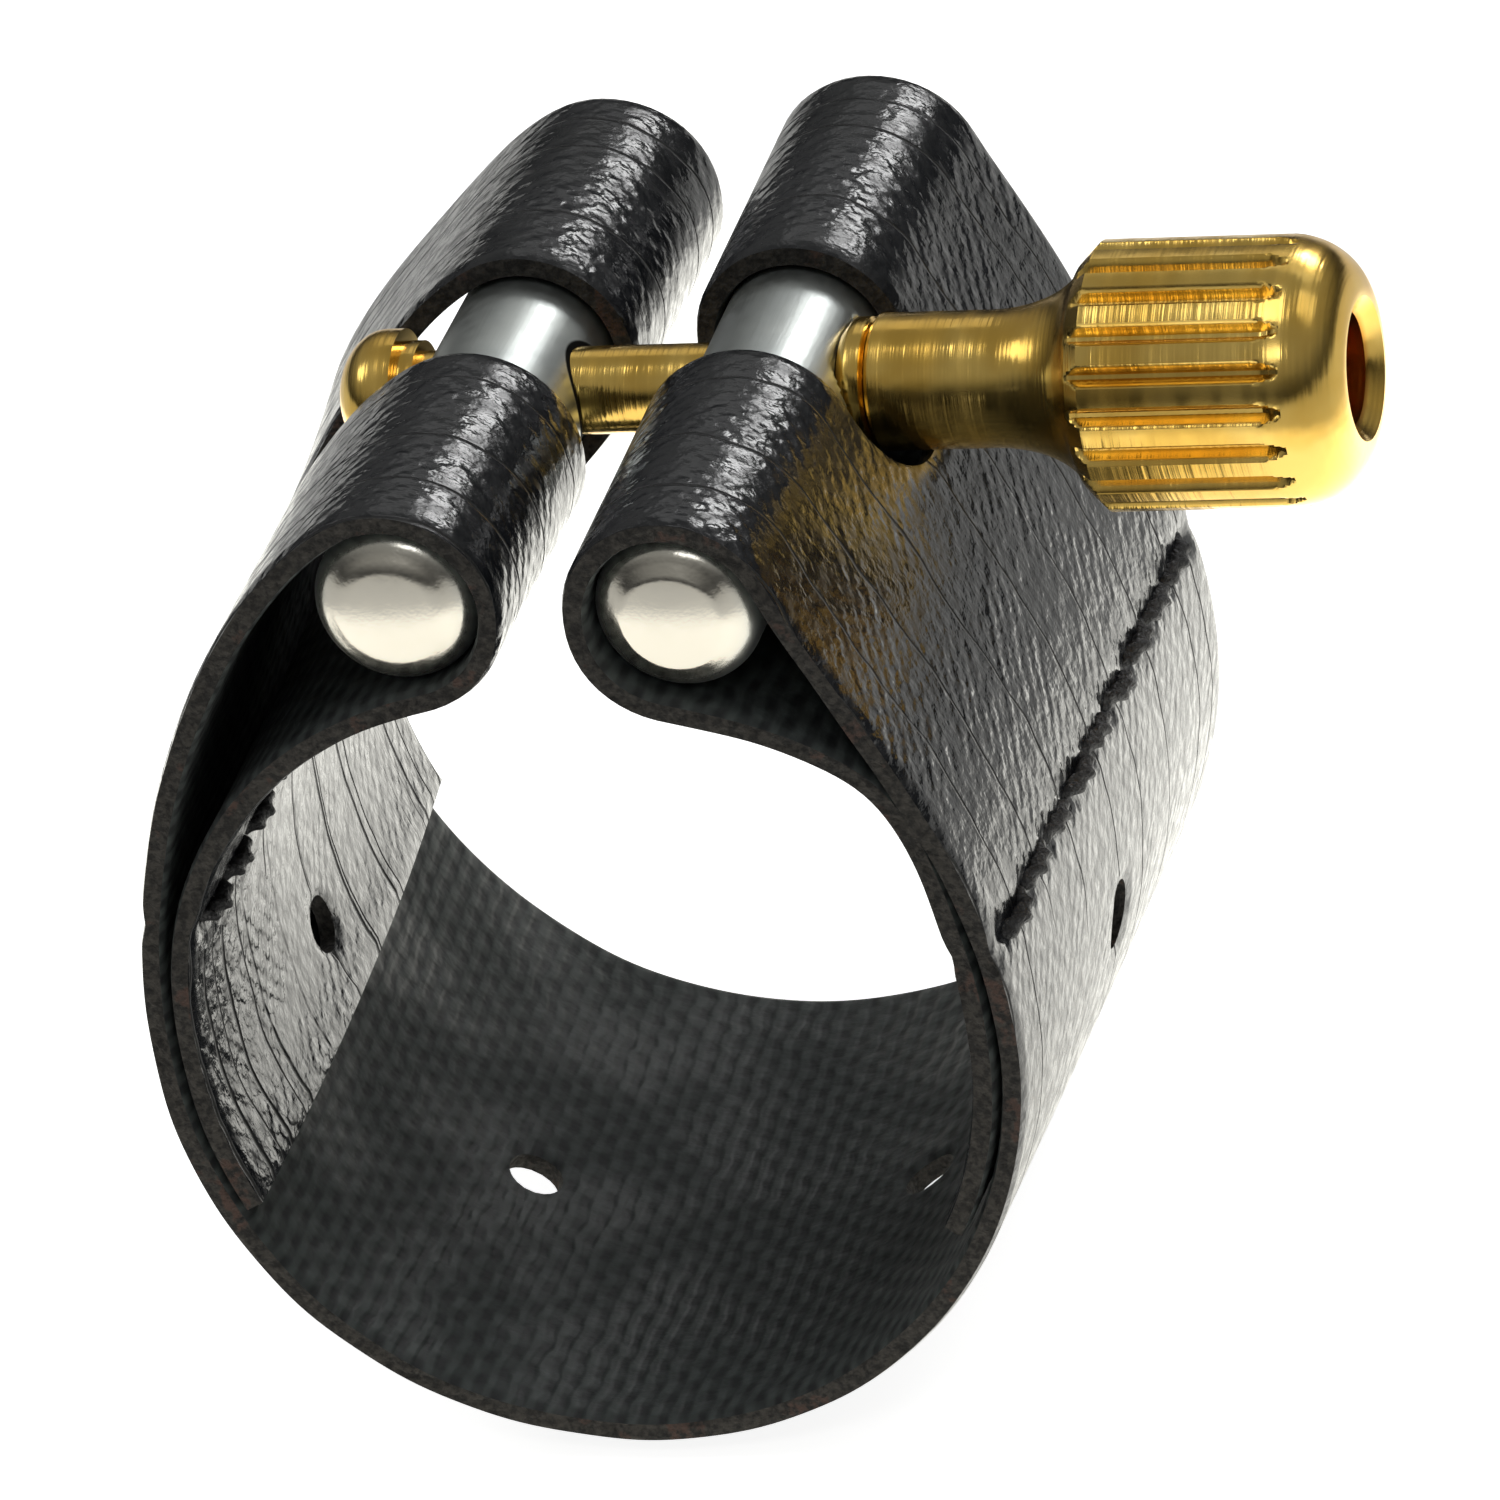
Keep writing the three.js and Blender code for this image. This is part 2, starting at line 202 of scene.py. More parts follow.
def half_line(half):
    """The line of one half from the ring's bottom to the folded end, with x outwards, and its joints."""
    ring = arc((0, 0), half["ring_width"], RING_DEPTH, -90, half["flank_from"])
    rod = (half["rod_out"], SCREW_Z)
    loop = arc(rod, LOOP_RADIUS, LOOP_RADIUS, half["loop_from"], 360 + half["underside"])
    flank = eased(
        ring[-1], heading(ring) * half["flank_pull"][0],
        loop[0], heading(loop, False) * half["flank_pull"][1],
    )
    outer = np.vstack([ring, flank[1:]])
    tangent = np.gradient(outer, axis=0)
    tangent /= np.linalg.norm(tangent, axis=1)[:, None]
    normal = np.column_stack([tangent[:, 1], -tangent[:, 0]])
    angle = np.degrees(np.arctan2(outer[:, 1], outer[:, 0]))
    lies_flat = (angle < half["fold_meets"]) & (angle > half["flap_end"])
    pressed = (outer - normal * (STRAP_THICKNESS + FOLD_GAP))[lies_flat][::-1]
    bend = eased(
        loop[-1], heading(loop) * half["bend_pull"][0],
        pressed[0], heading(pressed, False) * half["bend_pull"][1],
    )
    line = np.vstack([outer, loop[1:], bend[1:], pressed[1:]])
    joints = np.cumsum([len(outer), len(loop) - 1, len(bend) - 1]) - 1
    return line, joints


def lengths_along(line):
    """The distance travelled to each point of a line."""
    return np.concatenate([[0], np.cumsum(np.linalg.norm(np.diff(line, axis=0), axis=1))])


line_left, joints_left = half_line(left)
line_right, joints_right = half_line(right)
whole = np.vstack([line_left[::-1] * (-1, 1), line_right[1:]])
travel = lengths_along(whole) - lengths_along(line_left)[-1]
left["joints"] = lengths_along(line_left)[joints_left]
right["joints"] = lengths_along(line_right)[joints_right]
print("strap length:", travel[-1] - travel[0], "mm")

# %% [markdown]
# ## The strap as a thick sheet with holes
# The sheet is a grid in two coordinates: s, the distance along the line, and y, the place along the
# width. A hole could be cut with a Boolean, which leaves slivers. Here a block of cells is left out, and
# the grid round it is pushed from a square into a circle, so the hole's rim is a clean row of points.

# %% The sheet's own grid
COLUMNS_S, COLUMNS_Y = 409, 95
s_even = np.linspace(travel[0], travel[-1], COLUMNS_S)
y_even = np.linspace(-STRAP_WIDTH / 2, STRAP_WIDTH / 2, COLUMNS_Y)
S, Y = np.meshgrid(s_even, y_even, indexing="ij")
S_flat, Y_flat = S.copy(), Y.copy()
kept = np.ones((COLUMNS_S - 1, COLUMNS_Y - 1), bool)
REACH = 2.4  # how far round a hole the grid gives way, in the hole's own size
STEP_ASIDE = 0.05  # how far to each side of a point its direction is measured
LINE_SAMPLES = 4000


def line_at(s):
    """Place and outward normal of the strap's middle line at s, each as x and z."""
    place = [np.interp(s, travel, whole[:, k]) for k in (0, 1)]
    ahead = [np.interp(s + STEP_ASIDE, travel, whole[:, k]) for k in (0, 1)]
    behind = [np.interp(s - STEP_ASIDE, travel, whole[:, k]) for k in (0, 1)]
    tx, tz = ahead[0] - behind[0], ahead[1] - behind[1]
    length = np.hypot(tx, tz)
    return place[0], place[1], tz / length, -tx / length


def s_at_angle(half, degrees, folded=False):
    """s where the ring's outer layer, or the folded layer, passes an angle seen from the ring's centre."""
    s = np.linspace(0, abs(travel[0 if half is left else -1]), LINE_SAMPLES)
    x, z, _, _ = line_at(half["side"] * s)
    angle = np.degrees(np.arctan2(z, half["side"] * x))
    layer = s > half["joints"][1] if folded else s < half["joints"][0]
    return half["side"] * s[layer][np.argmin(np.abs(angle[layer] - degrees))]


def push(centre, size, towards_end=0):
    """Moves the grid near a hole so that square rings about it become round ones.

    A point at square distance q and round distance e from the centre is scaled by q / e, fading out by
    REACH. towards_end limits it to the points on one side of the centre along s.
    """
    p = (S_flat - centre[0]) / size[0]
    q = (Y_flat - centre[1]) / size[1]
    square = np.maximum(np.abs(p), np.abs(q))
    pull = 1 - smoothstep(1, REACH, square)
    if towards_end:
        pull = np.where(p * towards_end > 0, pull, 0)
    scale = 1 + (square / np.maximum(np.hypot(p, q), 1e-9) - 1) * pull
    S[:] += (S_flat - centre[0]) * (scale - 1)
    Y[:] += (Y_flat - centre[1]) * (scale - 1)


def punch(s, y, radius):
    """A round hole of the nearest whole number of cells."""
    i0, i1 = (np.abs(s_even - (s + d * radius)).argmin() for d in (-1, 1))
    j0, j1 = (np.abs(y_even - (y + d * radius)).argmin() for d in (-1, 1))
    kept[i0:i1, j0:j1] = False
    centre = ((s_even[i0] + s_even[i1]) / 2, (y_even[j0] + y_even[j1]) / 2)
    push(centre, ((s_even[i1] - s_even[i0]) / 2, (y_even[j1] - y_even[j0]) / 2))


print("grid cells measure", s_even[1] - s_even[0], "by", y_even[1] - y_even[0], "mm")

# %% Slots for the screw and the punched holes
SLOT_Y = (-3.0, 2.65)
SLOT_ROUND_Z = 14.2
SLOT_LOW_Z = SLOT_ROUND_Z - (SLOT_Y[1] - SLOT_Y[0]) / 2
FLANK_SEARCH = 9  # the slot ends on the flank within this distance of the loop
SLOT_SAMPLES = 3000
SIDE_HOLE = dict(angle=-12.5, y=-0.8, radius=0.95)
BAND_HOLE = dict(y=-1.0, radius=0.88)


def slot(half):
    """Leaves out the cells of a long slot over a loop, with a round end where it comes down to SLOT_LOW_Z on each side.

    slot_rise lifts the end on the flank.
    """
    s = np.linspace(half["joints"][0] - FLANK_SEARCH, half["joints"][1], SLOT_SAMPLES)
    _, z, _, _ = line_at(half["side"] * s)
    top = z.argmax()
    flank_levels = np.array([SLOT_LOW_Z, SLOT_ROUND_Z]) + half["slot_rise"]
    rising = list(np.interp(flank_levels, z[:top], s[:top]))
    falling = [np.interp(-level, -z[top:], s[top:]) for level in (SLOT_ROUND_Z, SLOT_LOW_Z)]
    ends = [half["side"] * v for v in (*rising, *falling)]
    i = sorted(int(np.abs(s_even - v).argmin()) for v in ends)
    j0, j1 = (int(np.abs(y_even - v).argmin()) for v in SLOT_Y)
    kept[i[0] : i[3], j0:j1] = False
    middle, wide = (y_even[j0] + y_even[j1]) / 2, (y_even[j1] - y_even[j0]) / 2
    push((s_even[i[1]], middle), (s_even[i[1]] - s_even[i[0]], wide), -1)
    push((s_even[i[2]], middle), (s_even[i[3]] - s_even[i[2]], wide), 1)


for half in (left, right):
    slot(half)
    for folded in (False, True):
        punch(s_at_angle(half, SIDE_HOLE["angle"], folded), SIDE_HOLE["y"], SIDE_HOLE["radius"])
    punch(s_at_angle(half, half["band_hole"]), BAND_HOLE["y"], BAND_HOLE["radius"])
print("cells left out for holes:", int((~kept).sum()))

# %% [markdown]
# ## Relief and hand-made unevenness
# The coated face sinks into a groove along each seam, with a pit at every needle hole. The back edge of
# the ring drifts off the front edge, the right loop leans with its rod, and no edge is quite straight.

# %% Relief and drift
STITCHES = 9
NEEDLE_MARGIN = 1.1  # from the strap's edge to the first needle hole
NEEDLE_Y = np.linspace(-STRAP_WIDTH / 2 + NEEDLE_MARGIN, STRAP_WIDTH / 2 - NEEDLE_MARGIN, STITCHES + 1)
GROOVE_DEPTH, GROOVE_WIDTH = 0.10, 0.4
PIT_DEPTH, PIT_WIDTH = 0.22, 0.3
BACK_SHIFT_X, BACK_SHIFT_Z = -1.3, -0.25  # from the front edge of the ring to its back edge
SHIFT_FADE = (3.4, 10)  # the shift comes in between these distances from a rod's axis
LEAN_FADE = (2, 11)  # the right side takes up its rod's lean between these heights
for half in (left, right):
    half["seam_s"] = [s_at_angle(half, half["seam"], folded) for folded in (False, True)]


def seam_relief(s, y):
    """Depth of the seams' grooves and needle pits, each a bell curve of the distance to its middle."""
    depth = np.zeros_like(s)
    to_needle = np.abs(y[..., None] - NEEDLE_Y).min(-1)
    for half in (left, right):
        for seam in half["seam_s"]:
            depth += GROOVE_DEPTH * np.exp(-(((s - seam) / GROOVE_WIDTH) ** 2))
            depth += PIT_DEPTH * np.exp(-(((s - seam) / PIT_WIDTH) ** 2) - (to_needle / PIT_WIDTH) ** 2)
    return depth


def drift(x, y, z, s):
    """Moves points by the drift of the back edge and the lean of the right loop.

    The drift grows with the square of the distance from the front edge and fades out near the rods. The
    lean lifts a point by the tangent of the tilt times its distance behind the screw.
    """
    is_right = s > 0
    rod_x = np.where(is_right, right["rod_out"], -left["rod_out"])
    growth = np.where(is_right, right["growth"], left["growth"])
    back = (y / STRAP_WIDTH + 0.5) ** 2 * smoothstep(*SHIFT_FADE, np.hypot(x - rod_x, z - SCREW_Z))
    lean = np.where(is_right, math.tan(TILT), 0) * smoothstep(*LEAN_FADE, z)
    new_z = z + back * (left["growth"] * z + BACK_SHIFT_Z) + lean * (y - SCREW_Y)
    return x + back * (growth * x + BACK_SHIFT_X), y, new_z


WAVE_SHAPES = [(3.1, 0.16), (1.7, -0.31), (0.9, 0.5), (0.55, -0.8)]  # length, and slide with y
WAVE_STARTS = random.uniform(0, 2 * math.pi, (3, len(WAVE_SHAPES)))


def unevenness(s, y, row):
    """A gentle waviness: the sum of four waves along s, whose phase slides with y."""
    return sum(
        np.sin(s / length + WAVE_STARTS[row, k] + y * slide) / (k + 1)
        for k, (length, slide) in enumerate(WAVE_SHAPES)
    )


print("needle holes in a seam:", len(NEEDLE_Y))

# %% The layers through the thickness
EDGE_WAVE, EDGE_WAVE_FROM = 0.05, 0.8  # the edges' waviness, and the share of the width where it starts
EDGE_ROUNDING = 0.09  # both faces sink by this much at every cut edge
RIPPLE = 0.012
CORE_SHARE, CORE_SCATTER = 0.45, 0.03  # height of the rows inside the cut edge, as a share of a face's
FUZZ = 0.035  # how far the core fibres stand out of the cut edge or lie back in it

edge_share = np.abs(Y_flat) / (STRAP_WIDTH / 2)
Y_real = Y + EDGE_WAVE * unevenness(S, Y, 0) * smoothstep(EDGE_WAVE_FROM, 1, edge_share)
x_mid, z_mid, normal_x, normal_z = line_at(S)
kept_or_border = np.pad(kept, 1)
cells_about = [kept_or_border[a : a + COLUMNS_S, b : b + COLUMNS_Y] for a in (0, 1) for b in (0, 1)]
at_edge = ~np.logical_and.reduce(cells_about)
coated_height = STRAP_THICKNESS / 2 - seam_relief(S, Y) - EDGE_ROUNDING * at_edge
coated_height += RIPPLE * unevenness(S, Y, 1)
plain_height = -STRAP_THICKNESS / 2 + EDGE_ROUNDING * at_edge + RIPPLE * unevenness(S, Y, 2)
heights = [
    coated_height,
    coated_height * CORE_SHARE + random.normal(0, CORE_SCATTER, S.shape),
    plain_height * CORE_SHARE + random.normal(0, CORE_SCATTER, S.shape),
    plain_height,
]
layers = []
for k, height in enumerate(heights):
    fuzz = random.normal(0, FUZZ, (2, *S.shape)) if k in (1, 2) else np.zeros((2, *S.shape))
    x, y, z = drift(x_mid + height * normal_x, Y_real, z_mid + height * normal_z, S)
    layer = np.stack([x + fuzz[0] * normal_z, y + fuzz[1], z - fuzz[0] * normal_x], -1)
    layers.append(layer.reshape(-1, 3))
strap_points = np.vstack(layers)
print("points at a cut edge:", int(at_edge.sum()))

# %% Faces: both sides, and walls along every free edge
PER_LAYER = COLUMNS_S * COLUMNS_Y
WALL_ROWS = len(layers) - 1


def strap_quads():
    """The kept cells on both faces, and a wall wherever a kept cell has no neighbour.

    The second array says what each quad is: 0 the coated face, 1 the plain face, 2 a cut edge.
    """
    i, j = np.nonzero(kept)
    a, b = i * COLUMNS_Y + j, (i + 1) * COLUMNS_Y + j
    c, d = b + 1, a + 1
    face = np.column_stack([a, b, c, d])
    sides = [(a, b, 0, -1), (b, c, 1, 0), (c, d, 0, 1), (d, a, -1, 0)]
    quads = [face, face[:, ::-1] + WALL_ROWS * PER_LAYER]
    kinds = [np.zeros(len(face)), np.ones(len(face))]
    for start, stop, di, dj in sides:
        free = ~kept_or_border[i + 1 + di, j + 1 + dj]
        p, q = start[free], stop[free]
        for k in range(WALL_ROWS):
            low, high = k * PER_LAYER, (k + 1) * PER_LAYER
            quads.append(np.column_stack([q + low, p + low, p + high, q + high]))
            kinds.append(np.full(len(p), 2))
    return np.vstack(quads), np.concatenate(kinds)


quads, kinds = strap_quads()
used, quads = np.unique(quads, return_inverse=True)
quads = quads.reshape(-1, 4)
strap_uv = np.tile(np.column_stack([S.ravel(), Y.ravel()]), (len(layers), 1))[used]
print("strap points:", len(used))

# %% [markdown]
# ## Shared surface effects
# Several finishes need the same effects: the raised crossings of a weave, long creases along the strap,
# patchy wear, and the fine rings that turning leaves. Nodes could be repeated in each material. Here
# each effect is one node group with its own inputs, so a finish sets its own scale and strength.

# %% Node helpers


def add_node(tree, kind, inputs=None, **settings):
    """A new node. inputs maps a socket's name or number to a value or to another node's output."""
    node = tree.nodes.new(kind)
    for name, value in settings.items():
        setattr(node, name, value)
    for name, value in (inputs or {}).items():
        if isinstance(value, bpy.types.NodeSocket):
            tree.links.new(value, node.inputs[name])
        else:
            node.inputs[name].default_value = value
    return node


def math_node(tree, operation, *values, clamp=False):
    """The result of one arithmetic step."""
    inputs = dict(enumerate(values))
    return add_node(tree, "ShaderNodeMath", inputs, operation=operation, use_clamp=clamp).outputs[0]


def ramp(tree, value, low, high, to_low=0.0, to_high=1.0):
    """A value between low and high mapped to another range, and held beyond it."""
    inputs = {"Value": value, 1: low, 2: high, 3: to_low, 4: to_high}
    return add_node(tree, "ShaderNodeMapRange", inputs, interpolation_type="SMOOTHSTEP").outputs[0]


def blend_colour(tree, mask, first, second):
    """first where the mask is 0, second where it is 1."""
    node = add_node(tree, "ShaderNodeMix", {0: mask}, data_type="RGBA")
    for socket, value in ((node.inputs[6], first), (node.inputs[7], second)):
        if isinstance(value, bpy.types.NodeSocket):
            tree.links.new(value, socket)
        else:
            socket.default_value = (*value, 1)
    return node.outputs[2]


def new_group(name, inputs, outputs):
    """An empty node group with named inputs and float outputs, and its two end nodes."""
    tree = bpy.data.node_groups.new(name, "ShaderNodeTree")
    for label, value in inputs.items():
        kind = "NodeSocketVector" if value is None else "NodeSocketFloat"
        socket = tree.interface.new_socket(label, in_out="INPUT", socket_type=kind)
        if value is not None:
            socket.default_value = value
    for label in outputs:
        tree.interface.new_socket(label, in_out="OUTPUT", socket_type="NodeSocketFloat")
    return tree, tree.nodes.new("NodeGroupInput").outputs, tree.nodes.new("NodeGroupOutput").inputs


def use_group(tree, group, **inputs):
    """The outputs of a group placed in a material."""
    node = tree.nodes.new("ShaderNodeGroup")
    node.node_tree = group
    for name, value in inputs.items():
        socket = node.inputs[name]
        if isinstance(value, bpy.types.NodeSocket):
            tree.links.new(value, socket)
        else:
            socket.default_value = value
    return node.outputs


print("node helpers are ready")

# %% The weave group


def weave_group():
    """Height is the product of two sine waves, along s and y, and Ribs is the wave along s alone."""
    tree, given, result = new_group("weave", {"Place": None, "Pitch": 0.6}, ["Height", "Ribs"])
    parts = add_node(tree, "ShaderNodeSeparateXYZ", {0: given["Place"]}).outputs
    noise = add_node(tree, "ShaderNodeTexNoise", {"Vector": given["Place"], "Scale": 0.7}).outputs[0]
    wobble = math_node(tree, "MULTIPLY", noise, 0.5)
    s = math_node(tree, "ADD", parts[0], wobble)
    turn = math_node(tree, "DIVIDE", 2 * math.pi, given["Pitch"])
    wave_s = math_node(tree, "SINE", math_node(tree, "MULTIPLY", s, turn))
    wave_y = math_node(tree, "SINE", math_node(tree, "MULTIPLY", parts[1], turn))
    product = math_node(tree, "MULTIPLY", wave_s, wave_y)
    tree.links.new(ramp(tree, product, -0.8, 0.8), result["Height"])
    tree.links.new(ramp(tree, wave_s, -0.9, 0.9), result["Ribs"])
    return tree


weave = weave_group()
print("weave group:", len(weave.nodes), "nodes")

# %% The crease group


def crease_group():
    """Thin lines that run along the strap: edges of uneven stripes in y, broken up by a slow noise."""
    tree, given, result = new_group(
        "creases", {"Place": None, "Spacing": 2.4, "Length": 12.0, "Width": 0.06}, ["Line"]
    )
    parts = add_node(tree, "ShaderNodeSeparateXYZ", {0: given["Place"]}).outputs
    sway = add_node(tree, "ShaderNodeTexNoise", {"Vector": given["Place"], "Scale": 0.3}).outputs[0]
    y = math_node(tree, "DIVIDE", math_node(tree, "MULTIPLY_ADD", sway, 0.9, parts[1]), given["Spacing"])
    stripes = add_node(
        tree, "ShaderNodeTexVoronoi", {"W": y, "Scale": 1.0}, feature="DISTANCE_TO_EDGE",
        voronoi_dimensions="1D",
    ).outputs["Distance"]
    thin = ramp(tree, stripes, 0.0, given["Width"], 1.0, 0.0)
    along = math_node(tree, "DIVIDE", parts[0], given["Length"])
    beside = math_node(tree, "MULTIPLY", y, 1.3)
    place = add_node(tree, "ShaderNodeCombineXYZ", {0: along, 1: beside}).outputs[0]
    gaps = add_node(tree, "ShaderNodeTexNoise", {"Vector": place, "Scale": 1.0}).outputs[0]
    tree.links.new(math_node(tree, "MULTIPLY", thin, ramp(tree, gaps, 0.38, 0.46)), result["Line"])
    return tree


creases = crease_group()
print("crease group:", len(creases.nodes), "nodes")

# %% The patch group


def patch_group():
    """Patchy masks for wear and colour: a coarse noise and a fine one."""
    tree, given, result = new_group("patches", {"Place": None, "Size": 3.0}, ["Coarse", "Fine"])
    scale = math_node(tree, "DIVIDE", 1.0, given["Size"])
    for label, finer, detail in (("Coarse", 1, 3), ("Fine", 6, 5)):
        inputs = {"Vector": given["Place"], "Scale": math_node(tree, "MULTIPLY", scale, finer)}
        noise = add_node(tree, "ShaderNodeTexNoise", inputs)
        noise.inputs["Detail"].default_value = detail
        tree.links.new(ramp(tree, noise.outputs[0], 0.35, 0.65), result[label])
    return tree


patches = patch_group()
print("patch group:", len(patches.nodes), "nodes")

# %% The turning group


def turning_group():
    """Fine rings round an axis along X: a noise that changes quickly along X and slowly across it."""
    tree, given, result = new_group("turning_marks", {"Place": None, "Fineness": 6.0}, ["Rings", "Bands"])
    parts = add_node(tree, "ShaderNodeSeparateXYZ", {0: given["Place"]}).outputs
    for label, factor in (("Rings", 1.0), ("Bands", 0.22)):
        fine = math_node(tree, "MULTIPLY", given["Fineness"], factor)
        x = math_node(tree, "MULTIPLY", parts[0], fine)
        y = math_node(tree, "MULTIPLY", parts[1], 0.12)
        z = math_node(tree, "MULTIPLY", parts[2], 0.12)
        place = add_node(tree, "ShaderNodeCombineXYZ", {0: x, 1: y, 2: z}).outputs[0]
        noise = add_node(tree, "ShaderNodeTexNoise", {"Vector": place, "Scale": 1.0})
        tree.links.new(noise.outputs[0], result[label])
    return tree


turning = turning_group()
print("node groups:", [group.name for group in bpy.data.node_groups])

# %% [markdown]
# ## The strap's three finishes
# The coated face is black and glossy like patent leather laid over a weave, so most of its look comes
# from what it mirrors. The plain face is the bare weave, matte and greenish grey. The cut edge shows the
# brown core fibres. A material can be new nodes or a changed preset; new nodes keep each part readable.

# %% Material helpers


def new_material(name):
    """A material with an empty Principled shader, and its node tree."""
    material = bpy.data.materials.new(name)
    material.use_nodes = True
    return material, material.node_tree, material.node_tree.nodes["Principled BSDF"]


def strap_place(tree):
    """The strap's own coordinates in millimetres."""
    return add_node(tree, "ShaderNodeUVMap", uv_map="strap_mm").outputs[0]


def object_place(tree):
    """Object coordinates in millimetres."""
    place = add_node(tree, "ShaderNodeTexCoord").outputs["Object"]
    return add_node(tree, "ShaderNodeMapping", {"Vector": place, "Scale": (1 / MM,) * 3}).outputs[0]


def bump(tree, shader, height, distance, strength=1.0, under=None):
    """A bump of a height in millimetres, on top of another one if given."""
    inputs = {"Height": height, "Distance": distance * MM, "Strength": strength}
    if under is not None:
        inputs["Normal"] = under
    normal = add_node(tree, "ShaderNodeBump", inputs).outputs[0]
    tree.links.new(normal, shader.inputs["Normal"])
    return normal


print("material helpers are ready")

# %% Materials of the strap
WEAVE_RELIEF, PEBBLE_RELIEF, CREASE_RELIEF = 0.022, 0.075, 0.05
FLAP_START = -left["joints"][2]  # s where the left fold comes to lie on the ring


def coating_material():
    """Glossy black over a faint weave, pebbled, with creases that run on unbroken along the left fold."""
    material, tree, shader = new_material("strap_coating")
    place = strap_place(tree)
    patch = use_group(tree, patches, Place=place, Size=4.0)
    knots = use_group(tree, weave, Place=place, Pitch=0.78)["Height"]
    short = use_group(tree, creases, Place=place, Spacing=3.0, Length=22.0, Width=0.026)["Line"]
    long = use_group(tree, creases, Place=place, Spacing=2.7, Length=90.0, Width=0.055)["Line"]
    along = add_node(tree, "ShaderNodeSeparateXYZ", {0: place}).outputs[0]
    flap = ramp(tree, along, FLAP_START - 1, FLAP_START + 1, 1.0, 0.0)
    line = math_node(tree, "MAXIMUM", short, math_node(tree, "MULTIPLY", long, flap))
    colour = blend_colour(tree, patch["Coarse"], (0.006, 0.007, 0.009), (0.012, 0.013, 0.016))
    # Painted shade: the crease lines are also painted darker than the coating round them.
    colour = blend_colour(tree, line, colour, (0.002, 0.002, 0.002))
    tree.links.new(colour, shader.inputs["Base Color"])
    rough = ramp(tree, patch["Fine"], 0, 1, 0.15, 0.28)
    tree.links.new(math_node(tree, "MULTIPLY_ADD", line, 0.5, rough), shader.inputs["Roughness"])
    shader.inputs["Specular IOR Level"].default_value = 0.55
    strength = math_node(tree, "MULTIPLY", knots, ramp(tree, patch["Coarse"], 0.2, 0.9, 0.15, 1.0))
    under = bump(tree, shader, strength, WEAVE_RELIEF)
    pebbles = add_node(tree, "ShaderNodeTexNoise", {"Vector": place, "Scale": 1.7, "Detail": 3.0}).outputs[0]
    under = bump(tree, shader, pebbles, PEBBLE_RELIEF, under=under)
    bump(tree, shader, math_node(tree, "SUBTRACT", 1.0, line), CREASE_RELIEF, under=under)
    return material


def plain_face_material():
    """Bare matte weave: two weaves added, with painted shade between the threads."""
    material, tree, shader = new_material("strap_plain_face")
    place = strap_place(tree)
    patch = use_group(tree, patches, Place=place, Size=5.0)
    knots = use_group(tree, weave, Place=place, Pitch=1.24)["Height"]
    ribs = use_group(tree, weave, Place=place, Pitch=0.62)["Ribs"]
    relief_and_shade = math_node(tree, "MULTIPLY_ADD", knots, 0.45, math_node(tree, "MULTIPLY", ribs, 0.55))
    # Painted shade: the weave's relief also darkens the colour between the threads.
    colour = blend_colour(tree, relief_and_shade, (0.006, 0.007, 0.008), (0.056, 0.067, 0.064))
    worn = math_node(tree, "MULTIPLY", patch["Fine"], 0.3)
    colour = blend_colour(tree, worn, colour, (0.020, 0.024, 0.025))
    tree.links.new(colour, shader.inputs["Base Color"])
    tree.links.new(ramp(tree, patch["Coarse"], 0, 1, 0.62, 0.8), shader.inputs["Roughness"])
    under = bump(tree, shader, relief_and_shade, 0.07)
    bump(tree, shader, patch["Fine"], 0.02, under=under)
    return material


def cut_edge_material():
    """Rough dark core fibres with a few reddish ones."""
    material, tree, shader = new_material("strap_cut_edge")
    place = object_place(tree)
    patch = use_group(tree, patches, Place=place, Size=1.3)
    colour = blend_colour(tree, patch["Fine"], (0.009, 0.008, 0.007), (0.040, 0.036, 0.031))
    red = ramp(tree, patch["Coarse"], 0.9, 1.0)
    colour = blend_colour(tree, math_node(tree, "MULTIPLY", red, patch["Fine"]), colour, (0.06, 0.034, 0.026))
    tree.links.new(colour, shader.inputs["Base Color"])
    shader.inputs["Roughness"].default_value = 0.9
    fibres = add_node(tree, "ShaderNodeTexNoise", {"Vector": place, "Scale": 7.0, "Detail": 4.0}).outputs[0]
    bump(tree, shader, fibres, 0.12)
    return material


coating, plain_face, cut_edge = coating_material(), plain_face_material(), cut_edge_material()
strap = make_mesh(
    "strap", strap_points[used], quads, [coating, plain_face, cut_edge], kinds, strap_uv, sharp=50
)
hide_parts("strap_left", "strap_right")
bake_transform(strap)

# %% [markdown]
# ## Stitches
# Thick black thread is sewn through both layers and pulled tight, so each stitch arches out of one needle
# hole and into the next. It could be a curve with a bevel; here all stitches of a seam are one array of
# tubes, with two twisted plies and a little disorder in each stitch.

# %% Stitch tubes
THREAD_RADIUS = 0.24
ALONG, AROUND = 36, 14
STITCH_GAP = 0.12  # between a stitch's end and the middle of its needle hole
ARCH_HEIGHT, ARCH_SUNK = 0.55, 0.40
PLY_SWELL, PLY_TURNS = 0.28, 9
DISORDER = 0.07
END_POINTS = 2.2  # a tube closes over this many of its rings


